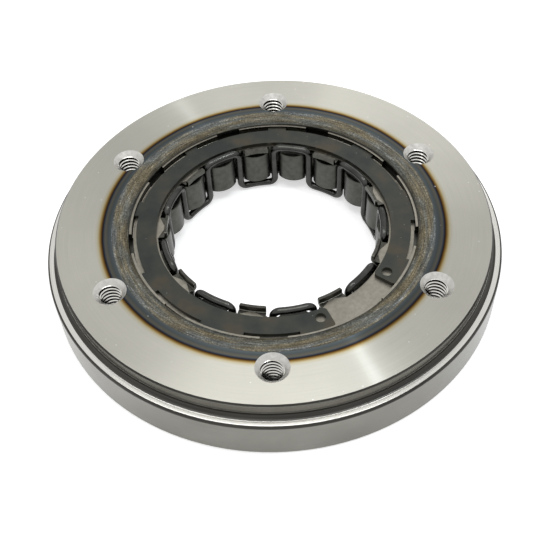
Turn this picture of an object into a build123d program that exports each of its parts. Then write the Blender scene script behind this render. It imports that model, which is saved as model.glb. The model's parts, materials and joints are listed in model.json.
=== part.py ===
from build123d import *
from math import asin, atan, cos, degrees, hypot, radians, sin
import os

# Sprag clutch for a starter drive: a bolt-on outer race ring with a sprag insert
# locked into its counterbore. Millimetres, Z is the clutch axis and points up out
# of the bolt face, the underside lies on Z = 0. Angles are anticlockwise from +X.

# ---- outer race ring -------------------------------------------------------
RIM_R = 62.0              # outer cylinder
THICK = 17.0              # underside to bolt face
LEDGE_WIDTH = 3.0
PILOT_R = RIM_R - LEDGE_WIDTH  # locating spigot under the bolt face
PILOT_DEPTH = 4.9         # bolt face to the ledge
PILOT_CHAMFER = 0.4
LEDGE_FILLET = 0.9
LEDGE_EDGE_R = 0.7
FOOT_CHAMFER = 0.6
HUB_R = 28.5              # running surface of the hub that the sprags grip
ANNULUS = 8.33            # hub surface to race surface, a standard sprag space
RACE_R = HUB_R + ANNULUS
RACE_CHAMFER = 0.5
LIP_STEP = 2.42
LIP_R = RACE_R + LIP_STEP  # lip the slotted rim of the cage springs under
LIP_EDGE = 0.45           # upright edge of the lip
LIP_ROUND = 0.35
BEVEL_RUN = 4.6           # unground band that falls to the lip
BEVEL_R = LIP_R + BEVEL_RUN
BEVEL_DROP = 0.6
LIP_FLOOR = BEVEL_DROP + LIP_EDGE  # bolt face to the underside of the lip

# ---- tapped holes ----------------------------------------------------------
HOLES = 6
PCD = 96.5
BOLT_R = 3.0              # M6 x 1, bored here at the thread diameter
SINK = 1.35               # countersink, beyond the thread
EXIT_CHAMFER = 0.5
FIRST_HOLE = -90.0

# ---- insert ----------------------------------------------------------------
SPRAGS = 18
PITCH = 360.0 / SPRAGS
PAIRS = SPRAGS // 2       # each tab, notch and spring wave spans two sprags
CLOCK = 19.9              # angle of the first tabbed sprag
SHEET = 0.75              # cage sheet

# ---- sprags ----------------------------------------------------------------
PLATE_TOP = 2.72          # bolt face to the cage plate
PLATE_FLOOR = PLATE_TOP + SHEET
SPRAG_LENGTH = 9.8
SPRAG_GAP = 0.3           # sprag end to the cage plate
SPRAG_TOP = PLATE_FLOOR + SPRAG_GAP
SPRAG_FOOT = SPRAG_TOP + SPRAG_LENGTH
SPRAG_BEVEL = 0.22
RACE_GAP = 0.03           # running fit of the sprags in the race
OUTER_CAM_R = 3.6
INNER_CAM_R = 5.4
GRIP = 0.1                # the free sprags stand this far inside the hub surface
CAM_OFFSET = 1.2          # sideways step between the two cam centres
OUTER_SPAN = 60.0         # half arc of each cam face
INNER_SPAN = 50.0
WAIST = 0.25              # hollow of the flanks
CAM_CORNER = 0.6
AXIS_R = RACE_R - RACE_GAP - OUTER_CAM_R
LEAN = degrees(asin(CAM_OFFSET / AXIS_R))
FACE_R = HUB_R - GRIP + INNER_CAM_R

# ---- meander spring --------------------------------------------------------
WIRE_R = 1.0
WIRE_BEND = 1.9
HUB_ROOM = 0.6            # wire to the hub surface
SPRING_R = HUB_R + HUB_ROOM + WIRE_R
HIGH_ROOM = 0.82          # sprag end to the loop above it
LOW_ROOM = 1.13           # sprag end to the loop below it
HIGH_LOOP = SPRAG_TOP - HIGH_ROOM - WIRE_R
LOW_LOOP = SPRAG_FOOT + LOW_ROOM + WIRE_R

# ---- cage ------------------------------------------------------------------
RIM_GAP = 0.03            # cage rim in the counterbore
RIM_HOLD = 0.1            # the rim reaches this far under the lip
RIM_DROP = 0.05           # lip to the top of the rim
RIM_TOP = LIP_FLOOR + RIM_DROP
CAGE_R = LIP_R + RIM_HOLD
BORE_R = CAGE_R + RIM_GAP
SPRING_ROOM = 0.5         # wire to the cage plate
PLATE_IN_R = SPRING_R + WIRE_R + SPRING_ROOM
BEND_R = 0.3              # inside radius of the sheet bends
TAB_ROOM = 0.45           # tab to the hub surface
TAB_IN_R = HUB_R + TAB_ROOM
TAB_RISE = 1.57           # upturned end of a tab over the plate
TAB_ARC = 13.6
TAB_CORNER = 0.5
NOTCH_ARC = 10.3
NOTCH_FROM = 10.5         # centre of a rim notch, past its tab
WALL_ROOM = 1.28          # cage wall to the race
WALL_OUT_R = RACE_R - WALL_ROOM
WALL_IN_R = WALL_OUT_R - SHEET
WINDOW_ROOM = 0.33
WINDOW_HALF = OUTER_CAM_R * sin(radians(OUTER_SPAN)) + WINDOW_ROOM
FLANGE_GAP = 0.05         # sprag end to the flange under it
FLANGE_STEP = 0.6
FLANGE_IN_R = PLATE_IN_R + FLANGE_STEP

# ---- snap ring -------------------------------------------------------------
SNAP_STEP = 0.45
SNAP_IN_R = PLATE_IN_R + SNAP_STEP
SNAP_GAP = 0.03
SNAP_R = CAGE_R - SHEET - SNAP_GAP
SNAP_THICK = 1.12
SNAP_NOTCH = 1.2
SNAP_AT = 309.4           # middle of the open gap
SNAP_OPEN = 30.0
SNAP_CORNER = 1.1
EYE_R = 1.4
EYE_INSET = 2.65
EYE_AT_R = SNAP_IN_R + EYE_INSET
EYE_IN = 4.2              # angle from a ring end to its eye
RELIEFS = ((39.75, 21.5), (80.0, 24.0), (119.0, 32.0), (160.0, 34.0))


def down(depth):
    """Height of a level given by its depth below the bolt face."""
    return THICK - depth


def on_circle(radius, angle, height=0.0):
    turn = radians(angle)
    return Vector(radius * cos(turn), radius * sin(turn), height)


def section(points, rounds=()):
    """Flat outline of (radius, height) points with chosen corners rounded."""
    face = make_face(Polyline(*points, close=True))
    for radius, height, size in rounds:
        spot = Vector(radius, height)
        vertex = min(face.vertices(), key=lambda v: (Vector(*v) - spot).length)
        face = fillet(vertex, size)
    return face


def turned(outline, arc=360.0, middle=0.0):
    """Solid swept round Z by an outline, over an arc about a middle angle."""
    swept = revolve(Plane.XZ * outline, Axis.Z, arc)
    return swept.rotate(Axis.Z, middle - arc / 2)


def band(r_in, r_out, low, high, arc=360.0, middle=0.0):
    box = ((r_in, low), (r_out, low), (r_out, high), (r_in, high))
    return turned(section(box), arc, middle)


def around(shape, count):
    """Equal copies of a shape round Z, the shape itself first."""
    return [shape.rotate(Axis.Z, 360.0 / count * k) for k in range(count)]


# ---- outer race ring -------------------------------------------------------

def clutch_housing():
    ledge = down(PILOT_DEPTH)
    seat = down(PLATE_FLOOR)
    outline = (
        (RACE_R + RACE_CHAMFER, 0),
        (RIM_R - FOOT_CHAMFER, 0),
        (RIM_R, FOOT_CHAMFER),
        (RIM_R, ledge),
        (PILOT_R, ledge),
        (PILOT_R, THICK - PILOT_CHAMFER),
        (PILOT_R - PILOT_CHAMFER, THICK),
        (BEVEL_R, THICK),
        (LIP_R, down(BEVEL_DROP)),
        (LIP_R, down(LIP_FLOOR)),
        (BORE_R, down(LIP_FLOOR)),
        (BORE_R, seat),
        (RACE_R + RACE_CHAMFER, seat),
        (RACE_R, seat - RACE_CHAMFER),
        (RACE_R, RACE_CHAMFER),
    )
    rounds = (
        (PILOT_R, ledge, LEDGE_FILLET),
        (RIM_R, ledge, LEDGE_EDGE_R),
        (LIP_R, down(BEVEL_DROP), LIP_ROUND),
    )
    ring = turned(section(outline, rounds))
    return ring - around(bolt_hole(), HOLES)


def bolt_hole():
    """Through hole at the thread diameter with a countersunk mouth."""
    hole = Pos(0, 0, THICK / 2) * Cylinder(BOLT_R, THICK + 2)
    mouth = Pos(0, 0, THICK - SINK / 2) * Cone(BOLT_R, BOLT_R + SINK, SINK)
    relief = Pos(0, 0, EXIT_CHAMFER / 2) * Cone(BOLT_R + EXIT_CHAMFER, BOLT_R, EXIT_CHAMFER)
    spot = on_circle(PCD / 2, FIRST_HOLE)
    return Pos(spot.X, spot.Y, 0) * (hole + mouth + relief)


# ---- cage ------------------------------------------------------------------

def cage_dish():
    """Plate with the upturned rim that springs under the lip of the housing."""
    top, floor = down(PLATE_TOP), down(PLATE_FLOOR)
    rim_in = CAGE_R - SHEET
    outline = (
        (PLATE_IN_R, floor),
        (CAGE_R, floor),
        (CAGE_R, down(RIM_TOP)),
        (rim_in, down(RIM_TOP)),
        (rim_in, top),
        (PLATE_IN_R, top),
    )
    rounds = ((CAGE_R, floor, BEND_R + SHEET), (rim_in, top, BEND_R))
    dish = turned(section(outline, rounds))
    first = CLOCK + NOTCH_FROM
    slot = band(rim_in - BEND_R, BORE_R, floor - SHEET, THICK, NOTCH_ARC, first)
    return dish - around(slot, PAIRS)


def cage_tab():
    """Inward tab over every other sprag, its end turned up against the hub side."""
    top, floor = down(PLATE_TOP), down(PLATE_FLOOR)
    root = PLATE_IN_R + SHEET
    wall_out = TAB_IN_R + SHEET
    outline = (
        (TAB_IN_R, floor),
        (root, floor),
        (root, top),
        (wall_out, top),
        (wall_out, top + TAB_RISE),
        (TAB_IN_R, top + TAB_RISE),
    )
    rounds = ((TAB_IN_R, floor, BEND_R + SHEET), (wall_out, top, BEND_R))
    tab = turned(section(outline, rounds), TAB_ARC, CLOCK)
    ends = [
        edge for edge in tab.edges()
        if abs(edge.center().Z - top - TAB_RISE) < 0.01 and edge.length < 1.5 * SHEET
    ]
    return fillet(ends, TAB_CORNER)


def cage_wall():
    """Windowed wall that spaces the sprags, with a flange turned in under them."""
    floor = down(PLATE_FLOOR)
    shelf = down(SPRAG_FOOT + FLANGE_GAP)
    outline = (
        (FLANGE_IN_R, shelf - SHEET),
        (WALL_OUT_R, shelf - SHEET),
        (WALL_OUT_R, floor + SHEET / 2),
        (WALL_IN_R, floor + SHEET / 2),
        (WALL_IN_R, shelf),
        (FLANGE_IN_R, shelf),
    )
    wall = turned(section(outline, ((WALL_OUT_R, shelf - SHEET, BEND_R + SHEET),)))
    arc = 2 * degrees(asin(WINDOW_HALF / WALL_IN_R))
    window = band(WALL_IN_R - SHEET, WALL_OUT_R + SHEET, shelf, floor, arc, CLOCK + LEAN)
    return wall - around(window, SPRAGS)


def sprag_cage():
    return cage_dish() + around(cage_tab(), PAIRS) + cage_wall()


# ---- sprags ----------------------------------------------------------------

def cam_arc(centre, radius, heading, span):
    """Arc about a centre, its middle toward a heading, with its two ends."""
    points = [
        centre + on_circle(radius, heading + turn)
        for turn in (-span, 0, span)
    ]
    return ThreePointArc(*points), points[0], points[2]


def flank(start, end, hollow):
    middle = (start + end) / 2
    along = (end - start).normalized()
    inward = Vector(-along.Y, along.X)
    return ThreePointArc(start, middle + inward * hollow, end)


def sprag():
    """Sprag on the +X axis: two offset cams joined by hollowed flanks."""
    axis = on_circle(AXIS_R, LEAN)
    outer, right, left = cam_arc(axis, OUTER_CAM_R, LEAN, OUTER_SPAN)
    inner, head_left, head_right = cam_arc(Vector(FACE_R, 0), INNER_CAM_R, 180, INNER_SPAN)
    edges = (
        outer,
        flank(left, head_left, WAIST),
        inner,
        flank(head_right, right, WAIST),
    )
    profile = fillet(make_face(edges).vertices(), CAM_CORNER)
    body = Pos(0, 0, down(SPRAG_FOOT)) * extrude(profile, SPRAG_LENGTH)
    rims = body.edges().filter_by(Plane.XY)
    return chamfer(rims, SPRAG_BEVEL)


# ---- snap ring -------------------------------------------------------------

def snap_ring():
    """Flat open ring that holds the slotted cage rim spread under the lip."""
    low = down(PLATE_TOP)
    high = low + SNAP_THICK
    outline = (
        (SNAP_IN_R, low),
        (SNAP_R - BEND_R, low),
        (SNAP_R, low + BEND_R),
        (SNAP_R, high),
        (SNAP_IN_R, high),
    )
    ring = turned(section(outline), 360 - SNAP_OPEN, SNAP_AT + 180)
    for middle, width in RELIEFS:
        for side in (-1, 1):
            place = SNAP_AT + side * middle
            ring -= band(SNAP_R - SNAP_NOTCH, SNAP_R + 1, low, high, width, place)
    for side in (-1, 1):
        spot = on_circle(EYE_AT_R, SNAP_AT + side * (SNAP_OPEN / 2 + EYE_IN))
        ring -= Pos(spot.X, spot.Y, low) * Cylinder(EYE_R, THICK)
    upright = ring.edges().filter_by(Axis.Z)
    ends = [edge for edge in upright if gap_turn(edge) < SNAP_OPEN / 2 + 0.1]
    return fillet(ends, SNAP_CORNER)


def gap_turn(edge):
    """Angle from the middle of the snap ring gap to an upright edge."""
    centre = edge.center()
    middle = on_circle(1, SNAP_AT)
    return Vector(centre.X, centre.Y).get_angle(middle)


# ---- meander spring --------------------------------------------------------

def half_wave():
    """Wire from the middle of a high loop down a leg to the middle of a low loop."""
    high, low = down(HIGH_LOOP), down(LOW_LOOP)
    leg_r = hypot(SPRING_R, WIRE_BEND)
    turn = degrees(atan(WIRE_BEND / SPRING_R))
    leg = PITCH / 2
    top = on_circle(leg_r, leg, high - WIRE_BEND)
    foot = on_circle(leg_r, leg, low + WIRE_BEND)
    upper = level_arc(0, leg - turn, high)
    lower = level_arc(leg + turn, PITCH, low)
    path = Wire([
        upper,
        TangentArc(upper @ 1, top, tangent=upper % 1).edge(),
        Edge.make_line(top, foot),
        TangentArc(foot, lower @ 0, tangent=(0, 0, -1)).edge(),
        lower,
    ])
    start = Plane(path @ 0, z_dir=path % 0)
    return sweep(start * Circle(WIRE_R), path)


def level_arc(start, end, height):
    """Stretch of a loop that follows the spring circle between two angles."""
    spots = [on_circle(SPRING_R, angle, height) for angle in (start, (start + end) / 2, end)]
    return Edge.make_three_point_arc(*spots)


def meander_spring():
    """Endless wire that runs over one sprag and under the next."""
    half = half_wave()
    wave = half + mirror(half, about=Plane.XZ)
    copies = around(wave.rotate(Axis.Z, CLOCK + PITCH), PAIRS)
    return copies[0] + copies[1:]


def write(name, shape):
    export_step(shape, f"parts/{name}.step")


os.makedirs("parts", exist_ok=True)
write("clutch_housing", clutch_housing())
write("sprag_cage", sprag_cage())
write("snap_ring", snap_ring())
write("meander_spring", meander_spring())
for number, body in enumerate(around(sprag().rotate(Axis.Z, CLOCK), SPRAGS), 1):
    write(f"sprag_{number:02d}", body)
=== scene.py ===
import json
from math import cos, hypot, pi, radians, sin

import bpy
from mathutils import Matrix, Vector


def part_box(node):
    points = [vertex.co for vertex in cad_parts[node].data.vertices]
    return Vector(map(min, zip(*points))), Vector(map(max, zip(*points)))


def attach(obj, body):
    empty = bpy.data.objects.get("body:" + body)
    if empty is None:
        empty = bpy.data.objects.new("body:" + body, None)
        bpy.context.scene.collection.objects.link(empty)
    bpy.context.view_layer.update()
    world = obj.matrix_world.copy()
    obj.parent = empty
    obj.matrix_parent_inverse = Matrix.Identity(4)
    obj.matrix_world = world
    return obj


# Looks of the sprag clutch, in metres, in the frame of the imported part: Z is the
# clutch axis, the bolt face is on top and the part stands on the floor at Z = 0.

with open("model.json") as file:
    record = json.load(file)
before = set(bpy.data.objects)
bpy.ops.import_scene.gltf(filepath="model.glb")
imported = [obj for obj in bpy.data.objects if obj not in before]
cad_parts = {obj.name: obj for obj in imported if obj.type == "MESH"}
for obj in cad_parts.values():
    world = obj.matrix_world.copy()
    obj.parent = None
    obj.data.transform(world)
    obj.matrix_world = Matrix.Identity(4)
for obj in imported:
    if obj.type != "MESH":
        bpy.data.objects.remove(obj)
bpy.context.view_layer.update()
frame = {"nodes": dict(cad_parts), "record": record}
MM = 0.001


# ---- sizes taken from the part ----------------------------------------------

def mounts():
    return {mount["name"]: mount for mount in frame["record"]["mounts"]}


def top_of(node):
    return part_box(node)[1].z


def rim_of(node):
    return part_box(node)[1].x


BOLTS = mounts()["bolt_circle"]["dims"]
HOLE_COUNT = BOLTS["count"]
HOLE_PCD = BOLTS["pcd_mm"] * MM
HOLE_R = BOLTS["hole_r_mm"] * MM
PILOT_R = mounts()["pilot"]["dims"]["r_mm"] * MM
FACE_Z = top_of("clutch_housing")
RIM_R = rim_of("clutch_housing")
CAGE_R = rim_of("sprag_cage")
FIRST_HOLE = -pi / 2

NEAR = 0.01 * MM               # a face this near a plane lies in it
BEVEL_R = 43.85 * MM           # the unground band falls inward from here
BEVEL_IN_R = 39.25 * MM        # and ends here, at the lip of the counterbore
BEVEL_DEPTH = 1.0 * MM         # no part of the band is deeper than this
TINT_R = 48.3 * MM             # heat tint from the band out to here
LEDGE_Z = FACE_Z - 4.9 * MM
EDGE_R = PILOT_R - 1.0 * MM    # outside this, a face belongs to the pilot or the rim
TOP_EDGE = 0.5 * MM            # height of the pilot's broken top edge
BASE_DEPTH = 1.0 * MM          # faces of the bore start this far above the underside
SINK = 1.35 * MM               # countersinks, at 45 degrees
CAGE_TOP = FACE_Z - 2.72 * MM  # upper face of the cage plate
PLATE_R = 31.55 * MM           # the cage plate starts here

# The ledge ring: a smooth skin over the facets of the ledge and its two roundings.
SKIN = 0.03 * MM               # how far it stands over them
SKIN_DEPTH = 0.3 * MM          # how far its back lies inside the housing
LEDGE_FILLET = 1.35 * MM       # at the foot of the pilot
RIM_ROUND = 0.7 * MM
RIM_TURN = 80                  # degrees of the rim's rounding that it covers
FILLET_STEPS = 12
ROUND_STEPS = 8
RING_STEPS = 360

THREAD_PITCH = 1.25 * MM
THREAD_DEPTH = 0.30 * MM
THREAD_MOUTH = 0.55 * MM       # the first turn below the bolt face
THREAD_FOOT = 0.8 * MM         # the last turn above the underside
THREAD_STEPS = 48              # to a turn
THREAD_START = 12              # steps in which the ridge rises out of the wall
THREAD_END = 24                # and sinks back into it
LEAST_WIDTH = 0.2              # share of the ridge's width where it has sunk
WALL_FACETS = 0.03 * MM        # how far the facets of a hole stand in from its round


# ---- material nodes ---------------------------------------------------------

class Metal:
    """A metal whose colour, roughness and relief are built from nodes."""

    def __init__(self, name, roughness, metallic=1.0):
        self.material = bpy.data.materials.new(name)
        self.material.use_nodes = True
        self.tree = self.material.node_tree
        self.shader = self.tree.nodes["Principled BSDF"]
        self.shader.inputs["Metallic"].default_value = metallic
        self.shader.inputs["Roughness"].default_value = roughness
        self.place = self.add("ShaderNodeTexCoord").outputs["Object"]

    def add(self, kind, inputs=(), **settings):
        node = self.tree.nodes.new(kind)
        for name, value in settings.items():
            setattr(node, name, value)
        for key, value in dict(inputs).items():
            self.feed(node.inputs[key], value)
        return node

    def feed(self, socket, value):
        if isinstance(value, bpy.types.NodeSocket):
            self.tree.links.new(value, socket)
        else:
            socket.default_value = value

    def math(self, operation, *values):
        return self.add("ShaderNodeMath", enumerate(values), operation=operation).outputs[0]

    def vector_math(self, operation, *values, out=0):
        node = self.add("ShaderNodeVectorMath", enumerate(values), operation=operation)
        return node.outputs[out]

    def radius(self):
        """Distance from the clutch axis."""
        flat = self.vector_math("MULTIPLY", self.place, (1, 1, 0))
        return self.vector_math("LENGTH", flat, out=1)

    def ring_space(self, across, around, along=0.0):
        """Coordinates that stretch a texture round the axis."""
        flat = self.vector_math("MULTIPLY", self.place, (1, 1, 0))
        way = self.vector_math("NORMALIZE", flat)
        turned = self.vector_math("MULTIPLY", way, (around, around, 0))
        out = self.math("MULTIPLY", self.radius(), across)
        height = self.add("ShaderNodeSeparateXYZ", {0: self.place}).outputs["Z"]
        lift = self.math("MULTIPLY_ADD", height, along, out)
        up = self.add("ShaderNodeCombineXYZ", {"Z": lift}).outputs[0]
        return self.vector_math("ADD", turned, up)

    def noise(self, vector, scale, detail=3.0, rough=0.55):
        inputs = {"Vector": vector, "Scale": scale, "Detail": detail, "Roughness": rough}
        return self.add("ShaderNodeTexNoise", inputs).outputs["Fac"]

    def spread(self, value, low, high, to_low, to_high):
        inputs = {0: value, 1: low, 2: high, 3: to_low, 4: to_high}
        return self.add("ShaderNodeMapRange", inputs).outputs[0]

    def ramp(self, value, stops):
        node = self.add("ShaderNodeValToRGB", {"Fac": value})
        points = node.color_ramp.elements
        while len(points) < len(stops):
            points.new(1.0)
        for point, (position, colour) in zip(points, stops):
            point.position = position
            point.color = (*colour, 1)
        return node.outputs["Color"]

    def mix(self, amount, first, second, blend="MIX"):
        node = self.add("ShaderNodeMix", data_type="RGBA", blend_type=blend)
        for key, value in ((0, amount), (6, first), (7, second)):
            if isinstance(value, tuple):
                value = (*value, 1)
            self.feed(node.inputs[key], value)
        return node.outputs[2]

    def colour(self, value):
        self.feed(self.shader.inputs["Base Color"], value)

    def roughness(self, value):
        self.feed(self.shader.inputs["Roughness"], value)

    def bump(self, height, distance, strength=1.0):
        inputs = {"Height": height, "Distance": distance, "Strength": strength}
        node = self.add("ShaderNodeBump", inputs)
        self.feed(self.shader.inputs["Normal"], node.outputs[0])

    def grey(self, value):
        return self.add("ShaderNodeCombineColor", {0: value, 1: value, 2: value}).outputs[0]

    def specks(self, scale, size):
        """1 on small scattered specks, one cell in five, and 0 elsewhere."""
        cells = self.add("ShaderNodeTexVoronoi", {"Vector": self.place, "Scale": scale})
        near = self.spread(cells.outputs["Distance"], size * 0.6, size, 1, 0)
        pick = self.add("ShaderNodeSeparateColor", {0: cells.outputs["Color"]}).outputs[0]
        return self.math("MULTIPLY", near, self.math("GREATER_THAN", pick, 0.8))

    def brushed_round(self, amount):
        """Highlights stretched across the turning marks."""
        tangent = self.add("ShaderNodeTangent", direction_type="RADIAL", axis="Z")
        self.feed(self.shader.inputs["Tangent"], tangent.outputs[0])
        self.shader.inputs["Anisotropic"].default_value = amount
        self.shader.inputs["Anisotropic Rotation"].default_value = 0.25
        return tangent.outputs[0]

    def streaks(self, colour, tangent, roughness, share):
        """A second gloss, very narrow along the marks, as on a finely turned face."""
        gloss = self.add("ShaderNodeBsdfAnisotropic", {
            "Color": colour, "Roughness": roughness, "Anisotropy": 0.80, "Tangent": tangent,
        })
        inputs = {0: share, 1: self.shader.outputs[0], 2: gloss.outputs[0]}
        both = self.add("ShaderNodeMixShader", inputs)
        surface = self.tree.nodes["Material Output"].inputs["Surface"]
        self.tree.links.new(both.outputs[0], surface)

    def finish(self, pattern, dark, light, smooth, rough, low=0.3):
        """Colour and roughness that both follow one pattern."""
        self.colour(self.ramp(pattern, ((0.3, dark), (0.7, light))))
        self.roughness(self.spread(pattern, low, 1 - low, smooth, rough))


# ---- steels -----------------------------------------------------------------

def ground_face():
    """Bolt face: ground steel, tinted by heat toward the bore."""
    metal = Metal("ground_face", 0.36)
    marks = metal.noise(metal.ring_space(9000, 3), 1.0, 2.0)
    clouds = metal.noise(metal.place, 45.0, 3.0)
    wobble = metal.spread(metal.noise(metal.place, 60.0, 4.0), 0, 1, -0.22 * MM, 0.22 * MM)
    radius = metal.math("ADD", metal.radius(), wobble)
    tint = metal.spread(radius, BEVEL_R, TINT_R, 0, 1)
    heat = metal.ramp(tint, (
        (0.00, (0.070, 0.083, 0.088)),
        (0.20, (0.052, 0.060, 0.062)),
        (0.31, (0.072, 0.070, 0.058)),
        (0.385, (0.078, 0.076, 0.064)),
        (0.45, (0.045, 0.048, 0.055)),
        (0.495, (0.018, 0.024, 0.034)),
        (0.545, (0.016, 0.011, 0.010)),
        (0.60, (0.075, 0.036, 0.010)),
        (0.66, (0.165, 0.105, 0.030)),
        (0.73, (0.290, 0.215, 0.095)),
        (0.82, (0.385, 0.352, 0.250)),
        (1.00, (0.432, 0.424, 0.378)),
    ))
    spots = metal.specks(420.0, 0.10)
    worn = metal.mix(metal.math("MULTIPLY", spots, 0.5), heat, (0.75, 0.76, 0.76))
    shade = metal.spread(metal.math("MULTIPLY", marks, clouds), 0.1, 0.4, 0.93, 1.06)
    colour = metal.mix(1.0, worn, metal.grey(shade), "MULTIPLY")
    metal.colour(colour)
    metal.roughness(metal.spread(marks, 0.2, 0.8, 0.30, 0.38))
    tangent = metal.brushed_round(0.85)
    metal.streaks(colour, tangent, 0.30, 0.30)
    return metal.material


def turned_steel_shaded():
    """Pilot wall and rim: fine turned steel, its colour darker than the face's as painted
    shade, standing in for the darker reflection of an upright wall.
    """
    metal = Metal("turned_steel_shaded", 0.18)
    marks = metal.noise(metal.ring_space(2000, 2, 9000), 1.0, 2.0)
    clouds = metal.noise(metal.place, 60.0)
    # Painted shade: the same steel as the face, in a darker tone.
    colour = metal.ramp(metal.math("MULTIPLY", marks, clouds), (
        (0.12, (0.160, 0.155, 0.134)),
        (0.40, (0.225, 0.219, 0.195)),
    ))
    metal.colour(colour)
    metal.roughness(metal.spread(marks, 0.2, 0.8, 0.14, 0.22))
    metal.streaks(colour, metal.brushed_round(0.5), 0.45, 0.15)
    return metal.material


def corner_shade_steel():
    """Broken edge and foot of the pilot, and the rim's rounding: darker, as painted shade
    of the dark lines on these roundings.
    """
    metal = Metal("corner_shade_steel", 0.30)
    marks = metal.noise(metal.ring_space(6000, 2, 6000), 1.0, 2.0)
    # Painted shade: a much darker copy of the turned steel.
    metal.finish(marks, (0.036, 0.035, 0.032), (0.062, 0.060, 0.055), 0.24, 0.34, low=0.2)
    return metal.material


def base_steel():
    """Underside: ground, without the sheen of the turned faces."""
    metal = Metal("base_steel", 0.36)
    marks = metal.noise(metal.ring_space(4000, 3), 1.0, 2.0)
    clouds = metal.noise(metal.place, 45.0, 3.0)
    metal.colour(metal.ramp(metal.math("MULTIPLY", marks, clouds), (
        (0.12, (0.330, 0.324, 0.295)),
        (0.40, (0.420, 0.413, 0.375)),
    )))
    metal.roughness(metal.spread(marks, 0.2, 0.8, 0.32, 0.42))
    return metal.material


def ledge_highlight_steel():
    """Flat of the ledge round the pilot: turned steel, its colour lighter than the face's
    as a painted highlight, for the bright reflection on the flat.
    """
    metal = Metal("ledge_highlight_steel", 0.20)
    marks = metal.noise(metal.ring_space(6000, 2), 1.0, 2.0)
    # Painted highlight: a lighter copy of the face's steel.
    metal.finish(marks, (0.58, 0.57, 0.53), (0.70, 0.69, 0.65), 0.17, 0.23, low=0.2)
    metal.brushed_round(0.6)
    return metal.material


def scaled_band():
    """Unground band round the bore: hardened, oxidised, with turning marks, painted glints,
    a painted highlight near its outer edge and painted shade toward the lip.
    """
    metal = Metal("scaled_band", 0.45, 0.9)
    grain = metal.noise(metal.place, 2500.0, 2.0, 0.5)
    rings = metal.noise(metal.ring_space(5200, 7), 1.0, 3.0, 0.6)
    patches = metal.noise(metal.ring_space(1100, 9), 1.0, 3.0)
    hue = metal.noise(metal.ring_space(600, 3), 1.0, 2.0)
    mottle = metal.math("MULTIPLY", patches, 0.27)
    mottle = metal.math("MULTIPLY_ADD", grain, 0.42, mottle)
    mottle = metal.math("MULTIPLY_ADD", rings, 0.46, mottle)
    scale = metal.ramp(mottle, (
        (0.42, (0.034, 0.034, 0.029)),
        (0.54, (0.086, 0.083, 0.071)),
        (0.65, (0.150, 0.144, 0.122)),
        (0.76, (0.360, 0.352, 0.325)),
    ))
    # Painted glints: small bright specks standing in for sparkle on the rough band.
    painted_glints = metal.specks(1100.0, 0.20)
    painted_glints = metal.math("MULTIPLY", painted_glints, 0.45)
    scale = metal.mix(painted_glints, scale, (0.42, 0.42, 0.40))
    warmth = metal.spread(hue, 0.40, 0.60, 0, 1)
    warm = metal.mix(warmth, (0.92, 1.00, 1.12), (1.10, 1.00, 0.82))
    # Painted light across the band: painted shade toward the lip, a painted highlight line
    # near the outer edge.
    across = metal.spread(metal.radius(), BEVEL_IN_R, BEVEL_R, 0, 1)
    edge_highlight_and_shade = metal.ramp(across, (
        (0.00, (0.40, 0.40, 0.38)),
        (0.16, (0.62, 0.62, 0.58)),
        (0.30, (0.98, 0.96, 0.90)),
        (0.50, (1.10, 1.07, 0.98)),
        (0.78, (0.95, 0.96, 0.96)),
        (0.90, (1.15, 1.17, 1.18)),
        (1.00, (0.70, 0.74, 0.78)),
    ))
    tinted = metal.mix(1.0, scale, warm, "MULTIPLY")
    metal.colour(metal.mix(1.0, tinted, edge_highlight_and_shade, "MULTIPLY"))
    metal.roughness(metal.spread(grain, 0.3, 0.7, 0.32, 0.55))
    metal.bump(mottle, 0.05 * MM, 0.6)
    return metal.material


def bore_shade_steel():
    """Race surface and counterbore: colour darkened as painted shade, for the shade of the
    insert.
    """
    metal = Metal("bore_shade_steel", 0.28)
    marks = metal.noise(metal.ring_space(2000, 2, 6000), 1.0, 2.0)
    metal.finish(marks, (0.050, 0.050, 0.045), (0.090, 0.090, 0.080), 0.22, 0.36, low=0.2)
    return metal.material


def sink_steel():
    """Countersinks: bright, matt from the cutter, with a fine grain."""
    metal = Metal("sink_steel", 0.45)
    grain = metal.noise(metal.place, 900.0)
    metal.finish(grain, (0.48, 0.47, 0.44), (0.64, 0.63, 0.60), 0.32, 0.44)
    return metal.material


def flank_highlight_steel():
    """Upper flanks of the threads: a light colour as a painted highlight, for the bright
    sky these flanks reflect and against the shade deep in the holes.
    """
    metal = Metal("flank_highlight_steel", 0.16)
    grain = metal.noise(metal.place, 500.0)
    metal.finish(grain, (0.60, 0.59, 0.55), (0.72, 0.71, 0.67), 0.14, 0.20)
    return metal.material


def groove_shade_steel():
    """Crests, roots and lower flanks of the threads: colour darkened as painted shade."""
    metal = Metal("groove_shade_steel", 0.34)
    grain = metal.noise(metal.place, 500.0)
    metal.finish(grain, (0.014, 0.013, 0.012), (0.026, 0.025, 0.022), 0.30, 0.40)
    return metal.material


def cage_steel():
    """Upper faces of the cage: satin sheet."""
    metal = Metal("cage_sheet", 0.34)
    grain = metal.noise(metal.place, 900.0, 4.0)
    clouds = metal.noise(metal.place, 90.0)
    metal.colour(metal.ramp(metal.math("MULTIPLY", grain, clouds), (
        (0.12, (0.205, 0.192, 0.160)),
        (0.40, (0.285, 0.268, 0.228)),
    )))
    metal.roughness(metal.spread(grain, 0.3, 0.7, 0.30, 0.40))
    return metal.material


def cage_side_shade():
    """Walls, lips and bends of the cage: a darker copy of the sheet, painted shade."""
    metal = Metal("cage_side_shade", 0.30)
    grain = metal.noise(metal.place, 900.0, 4.0)
    metal.finish(grain, (0.055, 0.054, 0.046), (0.090, 0.088, 0.076), 0.24, 0.36)
    return metal.material


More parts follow.
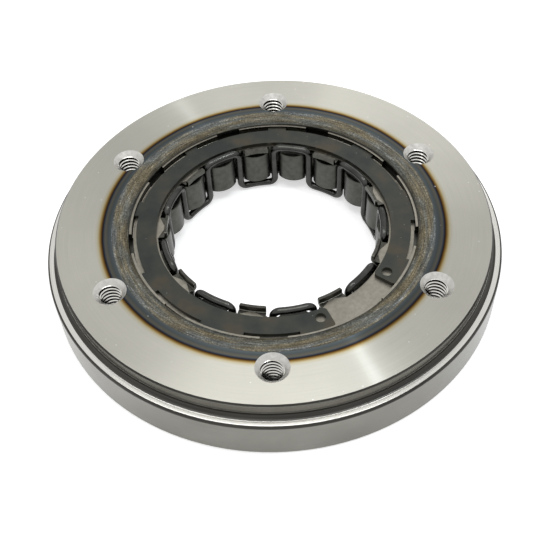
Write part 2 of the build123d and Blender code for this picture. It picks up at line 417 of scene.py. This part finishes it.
def snap_steel():
    """Snap ring: dark phosphated spring steel."""
    metal = Metal("snap_steel", 0.42, 0.8)
    grain = metal.noise(metal.place, 1200.0, 4.0)
    clouds = metal.noise(metal.place, 110.0, 3.0)
    tone = metal.ramp(clouds, (
        (0.34, (0.029, 0.033, 0.030)),
        (0.50, (0.042, 0.044, 0.038)),
        (0.64, (0.060, 0.052, 0.038)),
    ))
    spots = metal.specks(700.0, 0.12)
    metal.colour(metal.mix(metal.math("MULTIPLY", spots, 0.6), tone, (0.22, 0.22, 0.20)))
    metal.roughness(metal.spread(grain, 0.3, 0.7, 0.34, 0.46))
    return metal.material


def spring_steel():
    """Meander spring: smooth drawn wire."""
    metal = Metal("spring_wire", 0.24)
    grain = metal.noise(metal.place, 300.0, 3.0)
    metal.finish(grain, (0.042, 0.043, 0.039), (0.070, 0.071, 0.066), 0.18, 0.30)
    return metal.material


def sprag_steel():
    """Sprags: fine tumbled bearing steel."""
    metal = Metal("sprag_steel", 0.36)
    grain = metal.noise(metal.place, 600.0, 3.0)
    metal.finish(grain, (0.056, 0.057, 0.050), (0.090, 0.090, 0.080), 0.28, 0.40)
    return metal.material


# ---- which steel shows where ------------------------------------------------

def dress(node, *materials):
    """Puts these materials on a node of the part, the first everywhere."""
    mesh = frame["nodes"][node].data
    mesh.materials.clear()
    for material in materials:
        mesh.materials.append(material)
    for face in mesh.polygons:
        face.material_index = 0
    return mesh


# Material slots of the housing; the first, turned steel darkened as painted shade, is the
# one elsewhere.
FACE, BAND, BORE, SINKS, HOLE_WALLS, CORNERS, BASE = range(1, 8)


def dress_housing():
    """Gives each face of the housing the steel of the surface that it lies on."""
    mesh = dress(
        "clutch_housing", turned_steel_shaded(), ground_face(), scaled_band(), bore_shade_steel(),
        sink_steel(), GROOVE_SHADE, CORNER_SHADE, base_steel(),
    )
    for face in mesh.polygons:
        x, y, z = face.center
        radius = hypot(x, y)
        at_hole = any(hypot(x - a, y - b) < HOLE_R + SINK for a, b in hole_centres())
        near_ledge = abs(z - LEDGE_Z) < LEDGE_FILLET
        slopes_up = face.normal.z > 0.05
        if z > FACE_Z - NEAR:
            face.material_index = FACE
        elif at_hole and PILOT_R > radius > BEVEL_R and z > NEAR:
            # Countersinks; below them the hole walls get the painted shade of the thread
            # grooves.
            face.material_index = SINKS if z > FACE_Z - SINK else HOLE_WALLS
        elif CAGE_R < radius < BEVEL_R and slopes_up and z > FACE_Z - BEVEL_DEPTH:
            face.material_index = BAND
        # Faces of the bore get painted shade.
        elif radius < BEVEL_R and z > BASE_DEPTH:
            face.material_index = BORE
        # The pilot's broken top edge, its foot and the rim's rounding get painted shade.
        elif radius > EDGE_R and (near_ledge or z > FACE_Z - TOP_EDGE):
            face.material_index = CORNERS
        elif z < NEAR:
            face.material_index = BASE


def dress_cage():
    """Gives the upper faces of the cage's plate and rim the sheet's colour; the rest keeps
    a darker copy of it, painted shade.
    """
    mesh = dress("sprag_cage", cage_side_shade(), cage_steel())
    for face in mesh.polygons:
        x, y, z = face.center
        level = face.normal.z > 0.8
        if level and z > CAGE_TOP - 0.05 * MM and hypot(x, y) > PLATE_R:
            face.material_index = 1


def hole_centres():
    step = 2 * pi / HOLE_COUNT
    angles = [FIRST_HOLE + step * k for k in range(HOLE_COUNT)]
    return [(HOLE_PCD / 2 * cos(a), HOLE_PCD / 2 * sin(a)) for a in angles]


# ---- threads ----------------------------------------------------------------

def wall_at(height):
    """Radius of a hole's wall: its bore, and the countersink above it."""
    return HOLE_R + max(0.0, SINK - (FACE_Z - height))


def thread(name, centre, flank_highlight, shade):
    """Screw thread that lines one hole: a helical ridge from the wall inward.

    It is dark, as painted shade, but for its upper flanks, which carry a painted highlight.
    """
    crest = HOLE_R - THREAD_DEPTH
    profile = (
        (None, -0.42 * MM),    # None is the wall
        (crest, -0.12 * MM),
        (crest, 0.20 * MM),
        (None, 0.40 * MM),
    )
    turns = (FACE_Z - THREAD_MOUTH - THREAD_FOOT) / THREAD_PITCH - 1
    count = int(turns * THREAD_STEPS)
    points = []
    for step in range(count + 1):
        turn = 2 * pi * step / THREAD_STEPS
        rise = THREAD_FOOT + THREAD_PITCH * (0.5 + step / THREAD_STEPS)
        fade = min(1.0, step / THREAD_START, (count - step) / THREAD_END)
        for radius, offset in profile:
            height = rise + offset * max(fade, LEAST_WIDTH)
            wall = wall_at(height) - WALL_FACETS
            reach = wall if radius is None else wall - (wall - radius) * fade
            x, y = centre[0] + reach * cos(turn), centre[1] + reach * sin(turn)
            points.append((x, y, height))
    faces = []
    for step in range(count):
        a, b = 4 * step, 4 * step + 4
        faces += [(a + k, a + k + 1, b + k + 1, b + k) for k in range(3)]
        faces.append((a + 3, a, b, b + 3))
    faces += [(3, 2, 1, 0), tuple(4 * count + k for k in range(4))]
    piece = solid(name, points, faces, shade, "housing")
    piece.data.materials.append(flank_highlight)
    for step in range(count):
        piece.data.polygons[4 * step + 2].material_index = 1


def ledge_skin():
    """Smooth ring over the pilot's foot: its fillet, the ledge and the rim's rounding."""
    wall, flat = PILOT_R + SKIN, LEDGE_Z + SKIN
    inside, below = PILOT_R - SKIN_DEPTH, LEDGE_Z - RIM_ROUND - SKIN_DEPTH
    top = flat + LEDGE_FILLET + SKIN_DEPTH
    edge = RIM_R - RIM_ROUND
    profile = [(inside, top), (wall, top)]
    for step in range(FILLET_STEPS + 1):
        turn = radians(90 * step / FILLET_STEPS)
        radius = wall + LEDGE_FILLET * (1 - cos(turn))
        profile.append((radius, flat + LEDGE_FILLET * (1 - sin(turn))))
    for step in range(ROUND_STEPS + 1):
        turn = radians(RIM_TURN * step / ROUND_STEPS)
        radius = edge + (RIM_ROUND - SKIN / 2) * sin(turn)
        profile.append((radius, flat - RIM_ROUND * (1 - cos(turn))))
    profile += [(edge, below), (inside, below)]
    corners = len(profile)
    points, faces = [], []
    for step in range(RING_STEPS):
        turn = 2 * pi * step / RING_STEPS
        points += [(r * cos(turn), r * sin(turn), height) for r, height in profile]
        near, far = corners * step, corners * ((step + 1) % RING_STEPS)
        for k in range(corners):
            after = (k + 1) % corners
            faces.append((near + k, near + after, far + after, far + k))
    # The ring's fillet and rim rounding carry the painted shade of the corner material.
    piece = solid("ledge_ring", points, faces, CORNER_SHADE, "housing")
    # The ring's flat gets the painted highlight.
    piece.data.materials.append(ledge_highlight_steel())
    for face in piece.data.polygons:
        face.use_smooth = True
        if face.normal.z > 0.99:
            face.material_index = 1
    piece.data.set_sharp_from_angle(angle=radians(40))


def solid(name, points, faces, material, body):
    mesh = bpy.data.meshes.new(name)
    mesh.from_pydata(points, [], faces)
    mesh.materials.append(material)
    mesh.update()
    piece = bpy.data.objects.new(name, mesh)
    bpy.context.scene.collection.objects.link(piece)
    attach(piece, body)
    return piece


# ---- studio -----------------------------------------------------------------

FLOOR_SIZE = 6.0
FLOOR_LIFT = 0.55              # glow of the floor where it is seen, up to white
WORLD_LIGHT = 0.55             # strength of the world on the object
CAMERA_PLACE = (0.006839, -0.17031, 0.20045)
CAMERA_TURN, CAMERA_RISE, CAMERA_ROLL = radians(2.241), radians(50.709), radians(-2.902)
CAMERA_LENS = 59.91            # on a sensor 36 mm wide


def backdrop_rays(nodes, links):
    """1 for the rays that see the backdrop itself: camera, glossy and transmission."""
    path = nodes.new("ShaderNodeLightPath")
    total = path.outputs["Is Camera Ray"]
    for name in ("Is Glossy Ray", "Is Transmission Ray"):
        either = nodes.new("ShaderNodeMath")
        either.operation = "MAXIMUM"
        links.new(total, either.inputs[0])
        links.new(path.outputs[name], either.inputs[1])
        total = either.outputs[0]
    return total


def white_floor():
    half = FLOOR_SIZE / 2
    corners = [(-half, -half, 0), (half, -half, 0), (half, half, 0), (-half, half, 0)]
    mesh = bpy.data.meshes.new("floor")
    mesh.from_pydata(corners, [], [(0, 1, 2, 3)])
    floor = bpy.data.objects.new("floor", mesh)
    bpy.context.scene.collection.objects.link(floor)
    material = bpy.data.materials.new("floor")
    material.use_nodes = True
    tree = material.node_tree
    shader = tree.nodes["Principled BSDF"]
    shader.inputs["Base Color"].default_value = (0.85, 0.85, 0.85, 1)
    shader.inputs["Roughness"].default_value = 0.9
    shader.inputs["Specular IOR Level"].default_value = 0.0
    shader.inputs["Emission Color"].default_value = (1, 1, 1, 1)
    lift = tree.nodes.new("ShaderNodeMath")
    lift.operation = "MULTIPLY"
    tree.links.new(backdrop_rays(tree.nodes, tree.links), lift.inputs[0])
    lift.inputs[1].default_value = FLOOR_LIFT
    tree.links.new(lift.outputs[0], shader.inputs["Emission Strength"])
    floor.data.materials.append(material)


def white_world():
    world = bpy.data.worlds.new("studio")
    world.use_nodes = True
    nodes, links = world.node_tree.nodes, world.node_tree.links
    light = nodes["Background"]
    light.inputs["Color"].default_value = (1, 1, 1, 1)
    seen = backdrop_rays(nodes, links)
    level = nodes.new("ShaderNodeMapRange")
    links.new(seen, level.inputs[0])
    level.inputs[3].default_value = WORLD_LIGHT
    level.inputs[4].default_value = 1.0
    links.new(level.outputs[0], light.inputs["Strength"])
    bpy.context.scene.world = world


def lamp(name, place, size, power, tint=(1, 1, 1)):
    """Square lamp that looks at the origin."""
    light = bpy.data.lights.new(name, "AREA")
    light.energy = power
    light.color = tint
    light.size = size
    holder = bpy.data.objects.new(name, light)
    holder.location = place
    holder.rotation_euler = (-Vector(place)).to_track_quat("-Z", "Y").to_euler()
    holder.visible_camera = False
    bpy.context.scene.collection.objects.link(holder)


def camera():
    """Camera where the photograph was taken, turned by azimuth, elevation and roll."""
    turn, rise, roll = CAMERA_TURN, CAMERA_RISE, CAMERA_ROLL
    back = Vector((sin(turn) * cos(rise), -cos(turn) * cos(rise), sin(rise)))
    level = Vector((cos(turn), sin(turn), 0))
    upright = back.cross(level)
    right = cos(roll) * level + sin(roll) * upright
    up = -sin(roll) * level + cos(roll) * upright
    lens = bpy.data.cameras.new("camera")
    lens.lens = CAMERA_LENS
    lens.sensor_width = 36
    lens.clip_start = 0.01
    view = bpy.data.objects.new("camera", lens)
    turned = Matrix((right, up, back)).transposed().to_4x4()
    view.matrix_world = Matrix.Translation(CAMERA_PLACE) @ turned
    bpy.context.scene.collection.objects.link(view)
    bpy.context.scene.camera = view


# ---- the scene --------------------------------------------------------------

FLANK_HIGHLIGHT = flank_highlight_steel()
GROOVE_SHADE = groove_shade_steel()
CORNER_SHADE = corner_shade_steel()
dress_housing()
ledge_skin()
dress_cage()
dress("snap_ring", snap_steel())
dress("meander_spring", spring_steel())
SPRAG = sprag_steel()
for node in frame["nodes"]:
    if node.startswith("sprag_") and node != "sprag_cage":
        dress(node, SPRAG)
for number, centre in enumerate(hole_centres(), 1):
    thread(f"thread_{number}", centre, FLANK_HIGHLIGHT, GROOVE_SHADE)

white_floor()
white_world()
lamp("softbox", (-0.05, 0.00, 0.90), 0.62, 3.2)
lamp("back", (0.20, 0.76, 0.50), 0.30, 0.45)
lamp("spot", (0.33, -0.05, 0.88), 0.02, 1.00, (0.86, 0.93, 1.0))
camera()
bpy.context.scene.view_settings.view_transform = "Standard"
